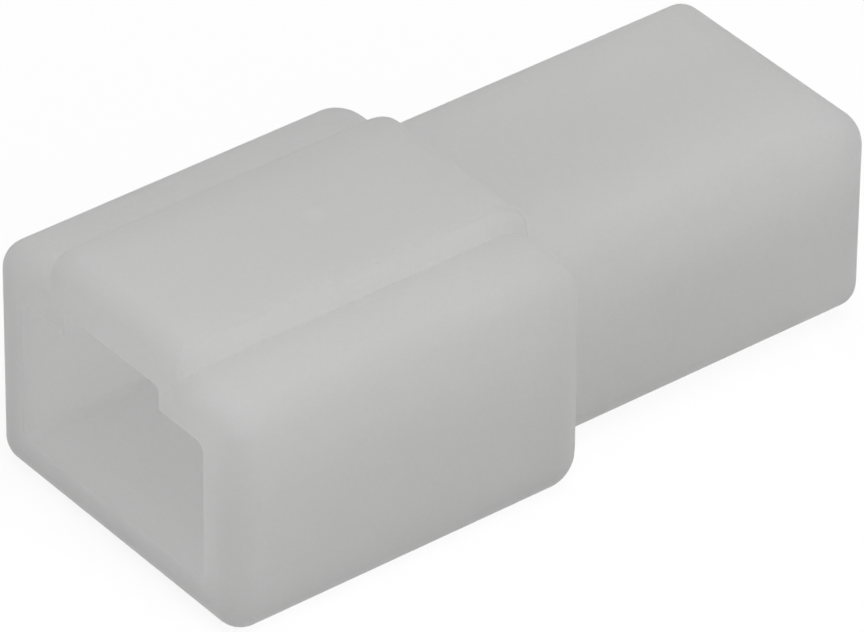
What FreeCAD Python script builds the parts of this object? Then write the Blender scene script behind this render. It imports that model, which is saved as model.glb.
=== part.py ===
import FreeCAD, Part
import os

import Sketcher
from FreeCAD import Vector

# One-piece nylon housing of a small two-way cable connector.
# Its own frame before placing: X across the width, Y from the mating face (y = 0)
# towards the wire end, Z up from the underside of the front block.

# Driving sizes in millimetres: alias, value, what it measures
SIZES = (
    ("block_width", 10.0, "front block, side to side"),
    ("block_height", 6.62, "front block, underside to shoulders"),
    ("block_length", 11.25, "front block, mating face to rear face"),
    ("edge_round", 0.75, "outer edges of the front block"),
    ("rear_round", 1.15, "edges round the rear face of the block"),
    ("raised_width", 5.14, "raised centre of the top, side to side"),
    ("raised_height", 0.86, "raised centre above the shoulders"),
    ("raised_length", 11.05, "raised centre, mating face to its rear"),
    ("raised_front_round", 0.7, "front top edge of the raised centre"),
    ("raised_edge", 0.15, "long top edges of the raised centre"),
    ("neck_width", 7.64, "wire end, side to side"),
    ("neck_height", 5.86, "wire end, underside to top"),
    ("neck_corner", 0.81, "long edges of the wire end"),
    ("neck_round", 0.54, "edges round the wire entry face"),
    ("total_length", 21.1, "mating face to wire entry face"),
    ("side_wall", 1.25, "side walls of the mouth"),
    ("wall", 1.22, "floor and roof of the mouth"),
    ("mouth_depth", 9.4, "mating face to the mouth's back wall"),
    ("mouth_corner", 0.3, "inner corners along the mouth"),
    ("mouth_break", 0.05, "rounded inner edge of the mouth's rim"),
    ("key_wall", 0.62, "wall beside the key channel in the roof"),
    ("key_roof", 1.4, "wall above the key channel"),
    ("key_corner", 0.15, "inner corners along the key channel"),
    ("pitch", 3.0, "circuit to circuit"),
    ("stop_wall", 0.8, "wall between the mouth and the contact seats"),
    ("pin_hole", 1.2, "square hole for the mating pin"),
    ("pin_funnel", 0.3, "chamfer that guides the pin in"),
    ("seat_width", 1.9, "contact seat, side to side"),
    ("seat_height", 2.2, "contact seat, floor to roof"),
    ("seat_length", 2.6, "contact seat along the housing"),
    ("lance_width", 1.0, "slot that the contact's spring tongue drops into"),
    ("lance_depth", 0.6, "that slot below the seat's floor"),
    ("lock_shoulder", 1.0, "wall that holds the spring tongue from behind"),
    ("wire_width", 2.3, "wire cavity, side to side"),
    ("wire_height", 3.4, "wire cavity, floor to roof"),
    ("wire_corner", 0.25, "inner corners along the wire cavity"),
    ("wire_lead", 0.3, "chamfer round each wire entry"),
    ("gate_diameter", 0.5, "mark of the moulding gate on the raised centre"),
    ("gate_height", 0.05, "that mark above the surface"),
    ("gate_place", 6.25, "mating face to the gate mark"),
)
CIRCUITS = 2
SMALL = 1e-4


def fill_sheet(doc):
    """Spreadsheet of the driving sizes, one alias a row."""
    sheet = doc.addObject("Spreadsheet::Sheet", "sizes")
    for row, (alias, value, note) in enumerate(SIZES, start=1):
        sheet.set(f"A{row}", alias)
        sheet.set(f"B{row}", str(value))
        sheet.set(f"C{row}", note)
        sheet.setAlias(f"B{row}", alias)
    doc.recompute()
    return sheet


def origin_plane(body, role):
    """The body's own origin plane of that role."""
    for feature in body.Origin.OriginFeatures:
        if feature.Role == role:
            return feature
    raise ValueError(f"{body.Name} has no {role}")


def sketch_across(body, name, place):
    """Sketch square to the housing's length, a distance back from the mating face."""
    sketch = body.newObject("Sketcher::SketchObject", name)
    sketch.AttachmentSupport = [(origin_plane(body, "XZ_Plane"), "")]
    sketch.MapMode = "FlatFace"
    # The plane's normal points to the front, so places further back are negative
    sketch.setExpression("AttachmentOffset.Base.z", f"-({place})")
    return sketch


def add_rectangle(sketch, tag, centre, width, bottom, height):
    """Rectangle with its left edge, width, bottom and height as named constraints."""
    first = sketch.GeometryCount
    corners = [Vector(0, 0, 0), Vector(1, 0, 0), Vector(1, 1, 0), Vector(0, 1, 0)]
    for start, end in zip(corners, corners[1:] + corners[:1]):
        sketch.addGeometry(Part.LineSegment(start, end), False)
    low, right, top, left = range(first, first + 4)
    for line, following in ((low, right), (right, top), (top, left), (left, low)):
        sketch.addConstraint(Sketcher.Constraint("Coincident", line, 2, following, 1))
    for line in (low, top):
        sketch.addConstraint(Sketcher.Constraint("Horizontal", line))
    for line in (right, left):
        sketch.addConstraint(Sketcher.Constraint("Vertical", line))
    drives = (
        ("left", Sketcher.Constraint("DistanceX", -1, 1, low, 1, 0.5), f"{centre} - ({width}) / 2"),
        ("width", Sketcher.Constraint("DistanceX", low, 1, low, 2, 1.0), width),
        ("bottom", Sketcher.Constraint("DistanceY", -1, 1, low, 1, 0.5), bottom),
        ("height", Sketcher.Constraint("DistanceY", right, 1, right, 2, 1.0), height),
    )
    for side, constraint, value in drives:
        index = sketch.addConstraint(constraint)
        sketch.renameConstraint(index, f"{tag}_{side}")
        sketch.setExpression(f"Constraints.{tag}_{side}", value)


def pad(body, sketch, name, length):
    """Material from the sketch towards the wire end."""
    feature = body.newObject("PartDesign::Pad", name)
    feature.Profile = sketch
    feature.Reversed = True
    feature.setExpression("Length", length)
    body.Document.recompute()
    return feature


def pocket(body, sketch, name, depth, forward=False):
    """Cut from the sketch towards the wire end, or forward to the mating face."""
    before = body.Shape.Volume
    feature = body.newObject("PartDesign::Pocket", name)
    feature.Profile = sketch
    feature.Reversed = forward
    feature.setExpression("Length", depth)
    body.Document.recompute()
    if body.Shape.Volume > before - SMALL:
        raise ValueError(f"{name} cuts nothing")
    return feature


def edge_names(shape, test):
    """Names of the edges whose middle point and end-to-end direction pass the test."""
    names = []
    for number, edge in enumerate(shape.Edges, start=1):
        if edge.Degenerated:
            continue
        middle = edge.valueAt((edge.FirstParameter + edge.LastParameter) / 2)
        across = edge.Vertexes[-1].Point - edge.Vertexes[0].Point
        if across.Length > 0:
            across.normalize()
        if test(middle, across):
            names.append(f"Edge{number}")
    return names


def dress(body, kind, name, test, size_name, size):
    """Fillet or chamfer on the edges of the body that pass the test."""
    base = body.Tip
    names = edge_names(base.Shape, test)
    if not names:
        raise ValueError(f"{name} finds no edge")
    feature = body.newObject(f"PartDesign::{kind}", name)
    feature.Base = (base, names)
    feature.setExpression(size_name, size)
    body.Document.recompute()
    return feature


def near(value, target):
    return abs(value - target) < SMALL


def along_length(direction):
    return abs(direction.y) > 1 - SMALL


def make_block(doc, size):
    """Front block: a plain prism with every outer edge rounded."""
    body = doc.addObject("PartDesign::Body", "housing")
    sketch = sketch_across(body, "block_section", "0")
    add_rectangle(sketch, "block", "0", "sizes.block_width", "0", "sizes.block_height")
    pad(body, sketch, "block", "sizes.block_length")
    dress(body, "Fillet", "block_rear_round",
          lambda point, way: near(point.y, size.block_length),
          "Radius", "sizes.rear_round")
    straight = size.block_length - size.rear_round
    dress(body, "Fillet", "block_edge_round",
          lambda point, way: near(point.y, 0)
          or (along_length(way) and point.y < straight),
          "Radius", "sizes.edge_round")
    return body


def make_raised_centre(doc, size):
    """Raised centre of the top, which houses the key channel, as a body to fuse."""
    body = doc.addObject("PartDesign::Body", "raised_centre")
    sketch = sketch_across(body, "raised_section", "0")
    add_rectangle(sketch, "raised", "0", "sizes.raised_width",
                  "sizes.block_height / 2", "sizes.block_height / 2 + sizes.raised_height")
    pad(body, sketch, "raised", "sizes.raised_length")
    top = size.block_height + size.raised_height
    dress(body, "Fillet", "raised_rear_round",
          lambda point, way: near(point.y, size.raised_length) and near(point.z, top),
          "Radius", "sizes.rear_round")
    dress(body, "Fillet", "raised_front_round",
          lambda point, way: near(point.y, 0) and near(point.z, top),
          "Radius", "sizes.raised_front_round")
    dress(body, "Fillet", "raised_long_edges",
          lambda point, way: near(point.z, top) and along_length(way),
          "Radius", "sizes.raised_edge")
    return body


def make_neck(doc, size):
    """Narrower wire end, centred on the block's height, as a body to fuse."""
    body = doc.addObject("PartDesign::Body", "neck")
    sketch = sketch_across(body, "neck_section", "sizes.block_length / 2")
    add_rectangle(sketch, "neck", "0", "sizes.neck_width",
                  "(sizes.block_height - sizes.neck_height) / 2", "sizes.neck_height")
    pad(body, sketch, "neck", "sizes.total_length - sizes.block_length / 2")
    dress(body, "Fillet", "neck_long_edges",
          lambda point, way: along_length(way),
          "Radius", "sizes.neck_corner")
    # The round stays on the rim outside the wire entries
    entries = f"{CIRCUITS - 1} * sizes.pitch + sizes.wire_width"
    side_rim = f"(sizes.neck_width - ({entries})) / 2 - sizes.wire_lead"
    top_rim = "(sizes.neck_height - sizes.wire_height) / 2 - sizes.wire_lead"
    dress(body, "Fillet", "neck_end_round",
          lambda point, way: near(point.y, size.total_length),
          "Radius", f"min(sizes.neck_round; 0.95 * min(sizes.neck_corner; {side_rim}; {top_rim}))")
    return body


def fuse(body, other):
    """Join another body's form to this one."""
    feature = body.newObject("PartDesign::Boolean", f"{other.Name}_join")
    feature.Type = "Fuse"
    feature.setObjects([other])
    body.Document.recompute()
    return feature


def cut_mouth(body, size):
    """Open mouth with a key channel in its roof."""
    sketch = sketch_across(body, "mouth_section", "0")
    add_rectangle(sketch, "mouth", "0", "sizes.block_width - 2 * sizes.side_wall",
                  "sizes.wall", "sizes.block_height - 2 * sizes.wall")
    pocket(body, sketch, "mouth", "sizes.mouth_depth")
    half = size.block_width / 2 - size.side_wall
    dress(body, "Fillet", "mouth_corners",
          lambda point, way: along_length(way) and near(abs(point.x), half)
          and point.y < size.mouth_depth,
          "Radius", "sizes.mouth_corner")
    channel = sketch_across(body, "key_section", "0")
    add_rectangle(channel, "key", "0", "sizes.raised_width - 2 * sizes.key_wall",
                  "sizes.block_height - 1.5 * sizes.wall",
                  "1.5 * sizes.wall + sizes.raised_height - sizes.key_roof")
    pocket(body, channel, "key_channel", "sizes.mouth_depth")
    channel_half = size.raised_width / 2 - size.key_wall
    roof = size.block_height - size.wall
    channel_top = size.block_height + size.raised_height - size.key_roof
    dress(body, "Fillet", "key_corners",
          lambda point, way: along_length(way) and near(abs(point.x), channel_half)
          and near(point.z, channel_top),
          "Radius", "sizes.key_corner")
    dress(body, "Fillet", "mouth_rim",
          lambda point, way: near(point.y, 0) and point.z > size.wall - SMALL
          and (abs(point.x) < half + SMALL and point.z < roof + SMALL
               or abs(point.x) < channel_half + SMALL and point.z < channel_top + SMALL),
          "Radius", "sizes.mouth_break")


def circuit_places():
    """Expressions for the middle of each circuit across the width."""
    first = -(CIRCUITS - 1) / 2
    return [f"{first + number} * sizes.pitch" for number in range(CIRCUITS)]


def cut_circuits(body, size):
    """Pin hole, contact seat, spring tongue slot and wire cavity of each circuit."""
    middle = "sizes.block_height / 2"
    seat_front = "sizes.mouth_depth + sizes.stop_wall"
    seat_rear = f"{seat_front} + sizes.seat_length"

    wires = sketch_across(body, "wire_section", "sizes.total_length")
    seats = sketch_across(body, "seat_section", seat_rear)
    holes = sketch_across(body, "pin_section", seat_front)
    slots = sketch_across(body, "lance_section", "sizes.mouth_depth")
    for number, centre in enumerate(circuit_places()):
        add_rectangle(wires, f"wire{number}", centre, "sizes.wire_width",
                      f"{middle} - sizes.wire_height / 2", "sizes.wire_height")
        add_rectangle(seats, f"seat{number}", centre, "sizes.seat_width",
                      f"{middle} - sizes.seat_height / 2", "sizes.seat_height")
        add_rectangle(holes, f"hole{number}", centre, "sizes.pin_hole",
                      f"{middle} - sizes.pin_hole / 2", "sizes.pin_hole")
        add_rectangle(slots, f"slot{number}", centre, "sizes.lance_width",
                      f"{middle} - sizes.seat_height / 2 - sizes.lance_depth", "sizes.lance_depth")

    pocket(body, wires, "wire_cavities", f"sizes.total_length - ({seat_rear})", forward=True)
    cavity_front = size.mouth_depth + size.stop_wall + size.seat_length
    dress(body, "Fillet", "wire_cavity_corners",
          lambda point, way: along_length(way) and point.y > cavity_front
          and abs(point.z - size.block_height / 2) < size.wire_height / 2 + SMALL
          and abs(point.x) < (CIRCUITS - 1) / 2 * size.pitch + size.wire_width / 2 + SMALL,
          "Radius", "sizes.wire_corner")
    pocket(body, seats, "contact_seats", "sizes.seat_length", forward=True)
    pocket(body, holes, "pin_holes", "sizes.stop_wall", forward=True)
    pocket(body, slots, "lance_slots", "sizes.stop_wall + sizes.seat_length - sizes.lock_shoulder")

    dress(body, "Chamfer", "pin_funnels",
          lambda point, way: near(point.y, size.mouth_depth)
          and abs(point.z - size.block_height / 2) < size.pin_hole / 2 + SMALL
          and abs(point.x) < (CIRCUITS - 1) / 2 * size.pitch + size.pin_hole / 2 + SMALL,
          "Size", "sizes.pin_funnel")
    inside = size.neck_width / 2 - size.neck_round - SMALL
    dress(body, "Chamfer", "wire_entries",
          lambda point, way: near(point.y, size.total_length) and abs(point.x) < inside
          and abs(point.z - size.block_height / 2) < size.wire_height / 2 + SMALL,
          "Size", "min(sizes.wire_lead; 0.45 * (sizes.pitch - sizes.wire_width))")


def add_gate_mark(body):
    """Low round vestige where the moulding was broken from its runner."""
    sketch = body.newObject("Sketcher::SketchObject", "gate_section")
    sketch.AttachmentSupport = [(origin_plane(body, "XY_Plane"), "")]
    sketch.MapMode = "FlatFace"
    top = "sizes.block_height + sizes.raised_height"
    sketch.setExpression("AttachmentOffset.Base.z", f"{top} - sizes.key_roof / 2")
    sketch.addGeometry(Part.Circle(Vector(0, 1, 0), Vector(0, 0, 1), 1), False)
    sketch.addConstraint(Sketcher.Constraint("PointOnObject", 0, 3, -2))
    place = sketch.addConstraint(Sketcher.Constraint("DistanceY", -1, 1, 0, 3, 1.0))
    sketch.renameConstraint(place, "gate_place")
    sketch.setExpression("Constraints.gate_place", "sizes.gate_place")
    across = sketch.addConstraint(Sketcher.Constraint("Diameter", 0, 2.0))
    sketch.renameConstraint(across, "gate_diameter")
    sketch.setExpression("Constraints.gate_diameter", "sizes.gate_diameter")
    feature = body.newObject("PartDesign::Pad", "gate_mark")
    feature.Profile = sketch
    feature.setExpression("Length", "sizes.key_roof / 2 + sizes.gate_height")
    body.Document.recompute()


def check(doc, bodies):
    """Stop before anything is written if a feature failed or a solid is unsound."""
    for item in doc.Objects:
        if "Invalid" in item.State or "Error" in item.State:
            raise RuntimeError(f"{item.Name} failed: {item.State}")
    for body in bodies:
        shape = body.Shape
        if shape.isNull() or not shape.isValid() or len(shape.Solids) != 1:
            raise RuntimeError(f"{body.Label} is not one sound solid")


doc = FreeCAD.newDocument("connector_housing")
size = fill_sheet(doc)
housing = make_block(doc, size)
fuse(housing, make_raised_centre(doc, size))
fuse(housing, make_neck(doc, size))
cut_mouth(housing, size)
cut_circuits(housing, size)
add_gate_mark(housing)
housing.Label = "housing"
# The origin of the finished part lies under the middle of its length
housing.setExpression("Placement.Base.y", "-sizes.total_length / 2")
doc.recompute()
check(doc, [housing])

os.makedirs("parts", exist_ok=True)
housing.Shape.exportStep(f"parts/{housing.Label}.step")
box = housing.Shape.optimalBoundingBox(False, False)
print(f"housing {box.XLength:.2f} x {box.YLength:.2f} x {box.ZLength:.2f} mm,"
      f" {housing.Shape.Volume:.1f} mm3, {len(housing.Shape.Faces)} faces")
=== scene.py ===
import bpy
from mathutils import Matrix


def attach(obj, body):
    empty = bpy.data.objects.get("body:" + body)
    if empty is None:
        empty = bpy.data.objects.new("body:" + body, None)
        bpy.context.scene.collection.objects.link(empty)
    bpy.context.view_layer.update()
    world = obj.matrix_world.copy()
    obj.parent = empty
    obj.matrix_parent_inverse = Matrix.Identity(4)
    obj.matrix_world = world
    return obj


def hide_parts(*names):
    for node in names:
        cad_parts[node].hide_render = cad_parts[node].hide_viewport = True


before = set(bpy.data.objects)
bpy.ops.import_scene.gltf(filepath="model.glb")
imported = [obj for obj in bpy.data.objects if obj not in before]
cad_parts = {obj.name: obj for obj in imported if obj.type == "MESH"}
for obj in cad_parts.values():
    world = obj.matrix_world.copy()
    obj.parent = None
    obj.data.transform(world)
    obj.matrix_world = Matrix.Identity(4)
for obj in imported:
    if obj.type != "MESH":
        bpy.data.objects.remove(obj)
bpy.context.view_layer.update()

import math

import bmesh
import bpy
from mathutils import Matrix, Vector


# Housing
# The whole connector body: a keyed shroud in front and the wire end behind. It is one
# piece of natural nylon (PA 66), injection moulded, with thin walls that let light
# through and the mould's fine spark-eroded grain on every face.

MM = 0.001
SHARP_ANGLE = math.radians(32)
MERGE_GAP = 0.0005 * MM

# The gate: a stub on the raised centre, where the moulding was broken from its runner
GATE_PLACE = (0.0, -4.3 * MM, 7.5 * MM)
GATE_BLUSH = 0.40 * MM
GATE_WEAR = 0.4
GATE_BEND = math.radians(10)
GATE_FOOT = 0.06 * MM
GATE_FOOT_STEPS = 3
GATE_FOOT_PROFILE = 0.5

NYLON_COLOUR = "#FAFAFA"
NYLON_WARM = "#F5F4F3"
NYLON_THROUGH = "#F8F8F8"
PIT_COLOUR = "#EAEAE9"
GATE_COLOUR = "#FFFFFF"
NYLON_IOR = 1.53
NYLON_ROUGHNESS = (0.36, 0.50)
SCATTER_DEPTH = 5.0 * MM
SCATTER_OF_COLOURS = (1.0, 1.0, 1.0)
THROUGH_SHARE = 0.50

# Clouds of the melt's flow are a few millimetres across
FLOW_SIZE = 3.5 * MM
FLOW_HEIGHT = 0.012 * MM
FLOW_DETAIL = 3.0
FLOW_ROUGHNESS = 0.55

# The real grain is about 0.03 mm, one pixel of the render, so it is drawn three times
# as coarse to show
GRAIN_SIZE = 0.09 * MM
GRAIN_HEIGHT = 0.006 * MM
GRAIN_DETAIL = 2.0
GRAIN_ROUGHNESS = 0.6


def linear(colour):
    """An sRGB hex colour as linear red, green, blue and alpha."""
    channels = []
    for start in (1, 3, 5):
        value = int(colour[start:start + 2], 16) / 255
        channels.append(value / 12.92 if value <= 0.04045 else ((value + 0.055) / 1.055) ** 2.4)
    return (*channels, 1.0)


def add_node(tree, kind, links=None, values=None, **settings):
    """A node with its settings, values by input, and links as input: (node, output)."""
    node = tree.nodes.new(kind)
    for name, value in settings.items():
        setattr(node, name, value)
    for own, value in (values or {}).items():
        node.inputs[own].default_value = value
    for own, (other, output) in (links or {}).items():
        tree.links.new(other.outputs[output], node.inputs[own])
    return node


def moulded_nylon():
    """Natural PA 66, injection moulded in a spark-eroded mould."""
    # Uncoloured nylon takes up hardly any light, scatters it deep and lets much of it pass.
    # The eye sees a milky white, greyer than the plastic's own colour because light leaks
    # away through the walls, with relief that nearly vanishes and an even satin gloss.
    material = bpy.data.materials.new("moulded_natural_nylon")
    material.use_nodes = True
    tree = material.node_tree
    tree.nodes.clear()
    place = add_node(tree, "ShaderNodeTexCoord")

    # Slow clouding of the melt, a little warmer in places
    cloud = add_node(tree, "ShaderNodeTexNoise", {"Vector": (place, "Object")},
                     {"Scale": 1 / FLOW_SIZE, "Detail": FLOW_DETAIL, "Roughness": FLOW_ROUGHNESS})
    tint = add_node(tree, "ShaderNodeMix", {"Factor": (cloud, "Fac")},
                    {"A": linear(NYLON_COLOUR), "B": linear(NYLON_WARM)}, data_type="RGBA")

    # Pits of the mould's grain hold a little less light
    grain = add_node(tree, "ShaderNodeTexNoise", {"Vector": (place, "Object")},
                     {"Scale": 1 / GRAIN_SIZE, "Detail": GRAIN_DETAIL, "Roughness": GRAIN_ROUGHNESS})
    pitted = add_node(tree, "ShaderNodeMix", {"Factor": (grain, "Fac"), "A": (tint, "Result")},
                      {"B": linear(PIT_COLOUR)}, data_type="RGBA")

    # Plastic is whitened by stress where the gate was broken off
    reach = add_node(tree, "ShaderNodeVectorMath", {0: (place, "Object")}, {1: GATE_PLACE},
                     operation="DISTANCE")
    blush = add_node(tree, "ShaderNodeMapRange", {"Value": (reach, "Value")},
                     {"From Min": GATE_BLUSH, "From Max": 0.0}, interpolation_type="SMOOTHSTEP")
    pale = add_node(tree, "ShaderNodeMix", {"Factor": (blush, "Result"), "A": (pitted, "Result")},
                    {"B": linear(GATE_COLOUR)}, data_type="RGBA")

    satin = add_node(tree, "ShaderNodeMapRange", {"Value": (cloud, "Fac")},
                     {"To Min": NYLON_ROUGHNESS[0], "To Max": NYLON_ROUGHNESS[1]})
    waves = add_node(tree, "ShaderNodeBump", {"Height": (cloud, "Fac")}, {"Distance": FLOW_HEIGHT})
    bump = add_node(tree, "ShaderNodeBump", {"Height": (grain, "Fac"), "Normal": (waves, "Normal")},
                    {"Distance": GRAIN_HEIGHT})

    milky = add_node(tree, "ShaderNodeBsdfPrincipled",
                     {"Base Color": (pale, "Result"), "Roughness": (satin, "Result"),
                      "Normal": (bump, "Normal")},
                     {"IOR": NYLON_IOR, "Subsurface Weight": 1.0,
                      "Subsurface Radius": SCATTER_OF_COLOURS, "Subsurface Scale": SCATTER_DEPTH},
                     subsurface_method="RANDOM_WALK")
    # Thin walls pass a share of the light that falls on their other side
    through = add_node(tree, "ShaderNodeBsdfTranslucent", {"Normal": (bump, "Normal")},
                       {"Color": linear(NYLON_THROUGH)})
    blend = add_node(tree, "ShaderNodeMixShader", {1: (milky, "BSDF"), 2: (through, "BSDF")},
                     {"Fac": THROUGH_SHARE})
    add_node(tree, "ShaderNodeOutputMaterial", {"Surface": (blend, "Shader")})
    return material


def wear_gate(work):
    """The gate's stub, which stands highest, worn down to a low dome with a soft foot."""
    top = max(vertex.co.z for vertex in work.verts)
    for vertex in work.verts:
        if top - vertex.co.z < MERGE_GAP:
            vertex.co.x += (GATE_PLACE[0] - vertex.co.x) * (1 - GATE_WEAR)
            vertex.co.y += (GATE_PLACE[1] - vertex.co.y) * (1 - GATE_WEAR)
    work.normal_update()
    stub = [edge for edge in work.edges
            if all((vertex.co - Vector(GATE_PLACE)).length < GATE_BLUSH for vertex in edge.verts)
            and edge.calc_face_angle(0.0) > GATE_BEND]
    bmesh.ops.bevel(work, geom=stub, offset=GATE_FOOT, segments=GATE_FOOT_STEPS,
                    profile=GATE_FOOT_PROFILE, affect="EDGES")


def smooth_copy(node, name):
    """A merged copy of a CAD node, smooth across its rounds and crisp at its sharp edges."""
    work = bmesh.new()
    work.from_mesh(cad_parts[node].data)
    bmesh.ops.remove_doubles(work, verts=work.verts, dist=MERGE_GAP)
    bmesh.ops.dissolve_degenerate(work, edges=work.edges, dist=MERGE_GAP)
    wear_gate(work)
    work.verts.index_update()
    # Built anew from points and faces, without the normals that came with the CAD mesh
    mesh = bpy.data.meshes.new(name)
    mesh.from_pydata([vertex.co[:] for vertex in work.verts], [],
                     [[vertex.index for vertex in face.verts] for face in work.faces])
    work.free()
    mesh.shade_smooth()
    mesh.set_sharp_from_angle(angle=SHARP_ANGLE)
    piece = bpy.data.objects.new(name, mesh)
    bpy.context.scene.collection.objects.link(piece)
    even = piece.modifiers.new("flat_faces_stay_flat", "WEIGHTED_NORMAL")
    even.keep_sharp = True
    return piece


housing = smooth_copy("housing", "moulded_housing")
housing.data.materials.append(moulded_nylon())
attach(housing, "root")
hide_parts("housing")


# Floor
# A plain pale sheet under the part, not part of it. It is matt, keeps the soft shadow
# that the part throws, and glows just enough to look white.

FLOOR_HALF = 1.2
FLOOR_COLOUR = "#A0A0A0"
FLOOR_LIFT = 0.82


def background_rays(tree):
    """1 where a camera, glossy or transmission ray looks at the background, else 0."""
    path = add_node(tree, "ShaderNodeLightPath")
    outer = add_node(tree, "ShaderNodeMath",
                     {0: (path, "Is Camera Ray"), 1: (path, "Is Glossy Ray")}, operation="MAXIMUM")
    return add_node(tree, "ShaderNodeMath",
                    {0: (outer, "Value"), 1: (path, "Is Transmission Ray")}, operation="MAXIMUM")


def pale_floor():
    """Matt pale paper, which gives an even ground without gloss."""
    material = bpy.data.materials.new("pale_floor")
    material.use_nodes = True
    tree = material.node_tree
    tree.nodes.clear()
    seen = background_rays(tree)
    lift = add_node(tree, "ShaderNodeMath", {0: (seen, "Value")}, {1: FLOOR_LIFT},
                    operation="MULTIPLY")
    matt = add_node(tree, "ShaderNodeBsdfDiffuse", values={"Color": linear(FLOOR_COLOUR)})
    glow = add_node(tree, "ShaderNodeEmission", {"Strength": (lift, "Value")})
    both = add_node(tree, "ShaderNodeAddShader", {0: (matt, "BSDF"), 1: (glow, "Emission")})
    add_node(tree, "ShaderNodeOutputMaterial", {"Surface": (both, "Shader")})
    return material


corners = [(-FLOOR_HALF, -FLOOR_HALF, 0), (FLOOR_HALF, -FLOOR_HALF, 0),
           (FLOOR_HALF, FLOOR_HALF, 0), (-FLOOR_HALF, FLOOR_HALF, 0)]
sheet = bpy.data.meshes.new("floor")
sheet.from_pydata(corners, [], [(0, 1, 2, 3)])
floor = bpy.data.objects.new("floor", sheet)
floor.data.materials.append(pale_floor())
bpy.context.scene.collection.objects.link(floor)


# Light
# A dim white room with four square soft panels: right, left, front and overhead. The
# right one is the strongest, and the overhead one comes next.

ROOM_STRENGTH = 0.15
ROOM_SEEN = 1.0
PANEL_SIZE = 0.30
PANEL_REACH = 0.21
TOP_REACH = 0.30
RIGHT_WATTS = 0.260
LEFT_WATTS = 0.062
FRONT_WATTS = 0.029
TOP_WATTS = 0.180


def white_room():
    """A room that lights the part dimly and shows white behind it."""
    world = bpy.data.worlds.new("white_room")
    world.use_nodes = True
    tree = world.node_tree
    tree.nodes.clear()
    seen = background_rays(tree)
    level = add_node(tree, "ShaderNodeMapRange", {"Value": (seen, "Value")},
                     {"To Min": ROOM_STRENGTH, "To Max": ROOM_SEEN})
    air = add_node(tree, "ShaderNodeBackground", {"Strength": (level, "Result")})
    add_node(tree, "ShaderNodeOutputWorld", {"Surface": (air, "Background")})
    return world


def soft_panel(name, watts, place):
    """A square soft panel at a place, turned to face the part."""
    data = bpy.data.lights.new(name, "AREA")
    data.size = PANEL_SIZE
    data.energy = watts
    lamp = bpy.data.objects.new(name, data)
    lamp.location = place
    lamp.rotation_euler = Vector(place).to_track_quat("Z", "Y").to_euler()
    bpy.context.scene.collection.objects.link(lamp)


bpy.context.scene.world = white_room()
soft_panel("right_panel", RIGHT_WATTS, (PANEL_REACH, 0.0, PANEL_REACH))
soft_panel("left_panel", LEFT_WATTS, (-PANEL_REACH, 0.0, PANEL_REACH))
soft_panel("front_panel", FRONT_WATTS, (0.0, -PANEL_REACH, PANEL_REACH))
soft_panel("top_panel", TOP_WATTS, (0.0, 0.0, TOP_REACH))


# Camera
# The photograph's view: a long lens from the right of the mouth, well above the part.
# Colours are shown as they are, without a film look.

AZIMUTH = math.radians(51.674)
ELEVATION = math.radians(35.528)
ROLL = math.radians(0.591)
DISTANCE = 227.59 * MM
AIM = Vector((3.420, -3.247, 5.896)) * MM
LENS = 385.59
SENSOR = 36.0
CLIP_NEAR = 0.01
CLIP_FAR = 10.0

back = Vector((math.sin(AZIMUTH) * math.cos(ELEVATION),
               -math.cos(AZIMUTH) * math.cos(ELEVATION),
               math.sin(ELEVATION)))
right = Vector((0, 0, 1)).cross(back).normalized()
up = back.cross(right)
level_axes = Matrix((right, up, back)).transposed().to_4x4()
stand = Matrix.Translation(AIM + back * DISTANCE)
camera_data = bpy.data.cameras.new("camera")
camera_data.lens = LENS
camera_data.sensor_width = SENSOR
camera_data.clip_start = CLIP_NEAR
camera_data.clip_end = CLIP_FAR
camera = bpy.data.objects.new("camera", camera_data)
camera.matrix_world = stand @ level_axes @ Matrix.Rotation(ROLL, 4, "Z")
bpy.context.scene.collection.objects.link(camera)
bpy.context.scene.camera = camera

bpy.context.scene.view_settings.view_transform = "Standard"
